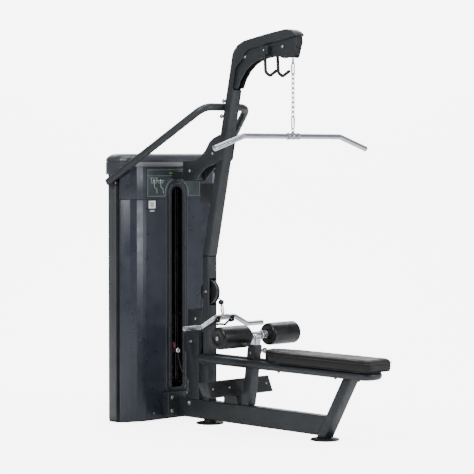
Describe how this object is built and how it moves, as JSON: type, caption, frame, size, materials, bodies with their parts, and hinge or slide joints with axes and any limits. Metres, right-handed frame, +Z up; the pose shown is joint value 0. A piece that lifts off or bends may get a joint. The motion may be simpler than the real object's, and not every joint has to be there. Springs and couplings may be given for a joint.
{
  "type": "lat pulldown machine",
  "caption": "Lat pulldown and low row station with a shrouded weight stack, leaning mast, hanging bar, row handle, thigh rollers and long bench seat.",
  "frame": {"origin": "middle of the rear foot's sole, on the floor under the main column", "axes": "+Z up, +X across the machine to its right seen from the seat end, +Y from the seat towards the weight tower"},
  "size_m": [1.2008, 1.82, 2.254],
  "materials": {
    "frame_paint": "fine textured charcoal powder coat",
    "cover_paint": "satin dark blue-grey",
    "chrome": "polished",
    "steel": "zinc plated",
    "cast": "painted black",
    "black_plastic": "moulded",
    "rubber": "smooth foam skin",
    "vinyl": "fine grain vinyl",
    "red_plastic": "gloss"
  },
  "bodies": {
    "frame": {"base_beam": "frame_paint", "t_crossmember": "frame_paint", "rear_foot": "rubber", "front_foot": "rubber", "front_leg": "frame_paint", "main_column": "frame_paint", "upper_mast": "frame_paint", "boom_plate_left": "frame_paint", "boom_plate_right": "frame_paint", "storage_hook_left": "rubber", "storage_hook_right": "rubber", "neck_plate_left": "frame_paint", "neck_plate_right": "frame_paint", "neck_spacer": "frame_paint", "u_brace": "frame_paint", "front_shroud": "cover_paint", "tower_base_plate": "cast", "rear_upright_left": "frame_paint", "rear_upright_right": "frame_paint", "rear_cover": "cover_paint", "top_cap": "cover_paint", "placard": "black_plastic", "slot_bezel": "black_plastic", "lower_weight_plates": "cast", "stack_support": "rubber", "guide_rod_left": "chrome", "guide_rod_right": "chrome", "tower_tie_bar": "frame_paint", "pin_lanyard": "black_plastic", "lanyard_strap": "steel", "lat_cable": "steel", "lat_cable_tail": "steel", "stack_cable": "steel", "row_cable": "steel", "row_handle_hooks": "rubber", "cable_bracket": "frame_paint", "pulley_housing": "frame_paint", "seat_rail": "frame_paint", "seat_bracket": "frame_paint", "seat_pad": "vinyl", "roller_post_sleeve": "frame_paint", "footplate": "frame_paint", "footplate_gusset": "frame_paint"},
    "weight_carriage": {"upper_weight_plates": "cast", "selector_rod": "chrome"},
    "pin": {"selector_pin": "red_plastic"},
    "front_sheave": {"boom_front_pulley": "black_plastic"},
    "rear_sheave": {"boom_rear_pulley": "black_plastic"},
    "neck_sheave": {"neck_pulley": "black_plastic"},
    "tower_sheave": {"tower_pulley": "black_plastic"},
    "lat_line": {"lat_chain": "chrome"},
    "lat_grip": {"lat_bar": "chrome"},
    "row_grip": {"row_swivel": "chrome", "row_handle": "chrome"},
    "row_sheave": {"row_pulley": "black_plastic"},
    "low_sheave": {"low_pulley": "black_plastic"},
    "thigh_post": {"roller_post": "chrome"},
    "left_roller": {"roller_left": "rubber"},
    "right_roller": {"roller_right": "rubber"},
    "pull_knob": {"pop_pin": "steel"}
  },
  "joints": [
    {"name": "carriage_slide", "type": "slide", "parent": "frame", "child": "weight_carriage", "axis": [0, 0, 1], "range_m": [0, 0.7], "deforming": ["stack_cable"]},
    {"name": "selector_pin_pull", "type": "slide", "parent": "weight_carriage", "child": "pin", "axis": [0, -1, 0], "range_m": [0, 0.05]},
    {"name": "lat_pull", "type": "slide", "parent": "frame", "child": "lat_line", "axis": [0, 0, -1], "range_m": [0, 0.7], "deforming": ["lat_cable_tail"]},
    {"name": "lat_bar_swivel", "type": "hinge", "parent": "lat_line", "child": "lat_grip", "pos_m": [0, -0.6705, 1.662], "axis": [0, 0, 1], "range_deg": [-75, 75]},
    {"name": "front_sheave_spin", "type": "hinge", "parent": "frame", "child": "front_sheave", "pos_m": [0, -0.612, 2.158], "axis": [1, 0, 0], "range_deg": [0, 676]},
    {"name": "rear_sheave_spin", "type": "hinge", "parent": "frame", "child": "rear_sheave", "pos_m": [0, -0.317, 2.11], "axis": [1, 0, 0], "range_deg": [0, 904]},
    {"name": "neck_sheave_spin", "type": "hinge", "parent": "frame", "child": "neck_sheave", "pos_m": [0, -0.066, 1.567], "axis": [1, 0, 0], "range_deg": [-796, 0]},
    {"name": "tower_sheave_spin", "type": "hinge", "parent": "frame", "child": "tower_sheave", "pos_m": [0, 0.372, 1.44], "axis": [1, 0, 0], "range_deg": [0, 1045]},
    {"name": "row_pull", "type": "slide", "parent": "frame", "child": "row_grip", "axis": [0, -0.9205, 0.3907], "range_m": [0, 0.75]},
    {"name": "row_sheave_spin", "type": "hinge", "parent": "frame", "child": "row_sheave", "pos_m": [0, -0.004, 0.768], "axis": [1, 0, 0], "range_deg": [0, 648]},
    {"name": "low_sheave_spin", "type": "hinge", "parent": "frame", "child": "low_sheave", "pos_m": [0, 0.129, 0.47], "axis": [1, 0, 0], "range_deg": [-724, 0]},
    {"name": "post_slide", "type": "slide", "parent": "frame", "child": "thigh_post", "axis": [0, -0.1483, 0.9889], "range_m": [-0.018, 0.1]},
    {"name": "left_roller_spin", "type": "hinge", "parent": "thigh_post", "child": "left_roller", "pos_m": [-0.193, -0.381, 0.54], "axis": [1, 0, 0], "continuous": true},
    {"name": "right_roller_spin", "type": "hinge", "parent": "thigh_post", "child": "right_roller", "pos_m": [0.2, -0.381, 0.54], "axis": [1, 0, 0], "continuous": true},
    {"name": "pop_pin_pull", "type": "slide", "parent": "frame", "child": "pull_knob", "axis": [1, 0, 0], "range_m": [0, 0.01], "stiffness_N_per_m": 400, "springref_m": -0.004}
  ],
  "couplings": [
    {"joint": "lat_pull", "follows": "carriage_slide", "ratio": 1},
    {"joint": "front_sheave_spin", "follows": "carriage_slide", "rad_per_m": 16.835},
    {"joint": "rear_sheave_spin", "follows": "carriage_slide", "rad_per_m": 22.52},
    {"joint": "neck_sheave_spin", "follows": "carriage_slide", "rad_per_m": -19.84},
    {"joint": "tower_sheave_spin", "follows": "carriage_slide", "rad_per_m": 26.04},
    {"joint": "row_sheave_spin", "follows": "row_pull", "rad_per_m": 15.06},
    {"joint": "low_sheave_spin", "follows": "row_pull", "rad_per_m": -16.835}
  ]
}
